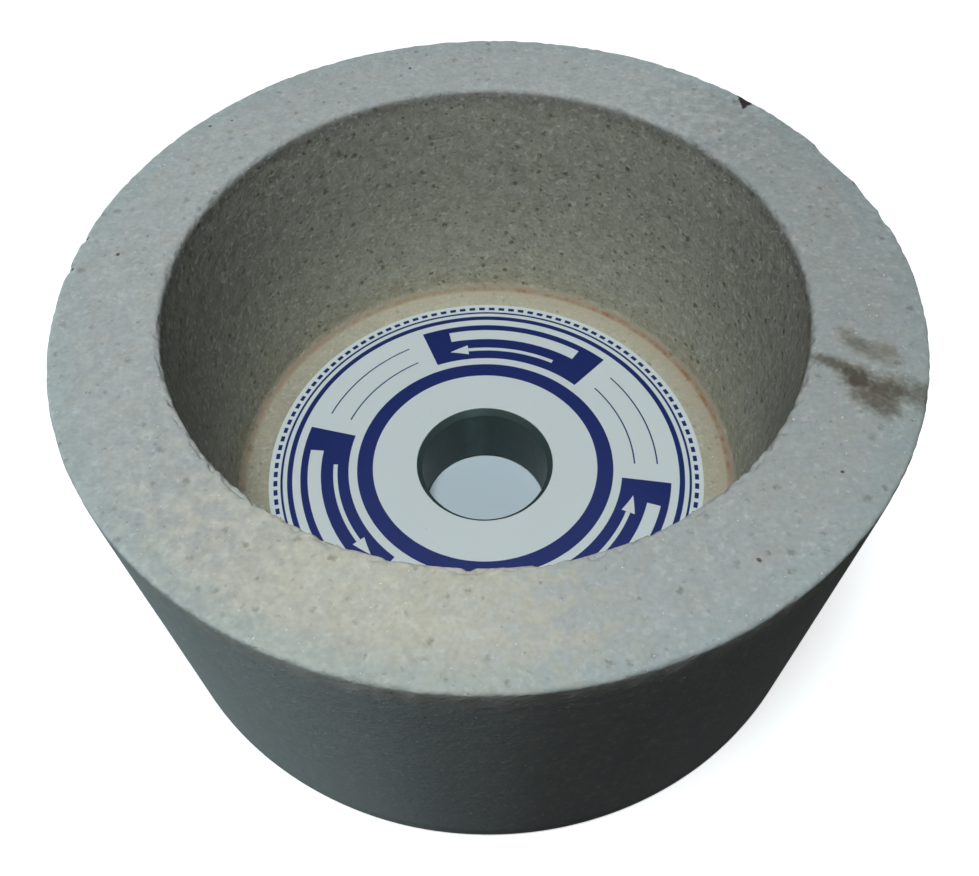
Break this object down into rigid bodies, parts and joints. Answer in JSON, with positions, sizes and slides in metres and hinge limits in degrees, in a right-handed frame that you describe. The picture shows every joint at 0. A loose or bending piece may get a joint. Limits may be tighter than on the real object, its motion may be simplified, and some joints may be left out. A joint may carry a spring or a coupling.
{
  "type": "straight cup grinding wheel",
  "caption": "Straight cup grinding wheel: a thick-walled white abrasive cup with a bushed spindle hole in its floor and a printed paper label around it.",
  "frame": {"origin": "centre of the back face, on the wheel's axis; the wheel stands on its back face", "axes": "+Z along the wheel's axis, out of the open cup; X and Y across it, the chip in the rim 42 degrees from +X towards +Y"},
  "size_m": [0.1016, 0.1016, 0.0508],
  "materials": {
    "white_abrasive": "rough porous grain",
    "bush": "satin",
    "label_paper": "matte print in navy blue"
  },
  "bodies": {
    "root": {"abrasive_cup": "white_abrasive", "bore_bush": "bush", "paper_label": "label_paper"}
  },
  "joints": []
}
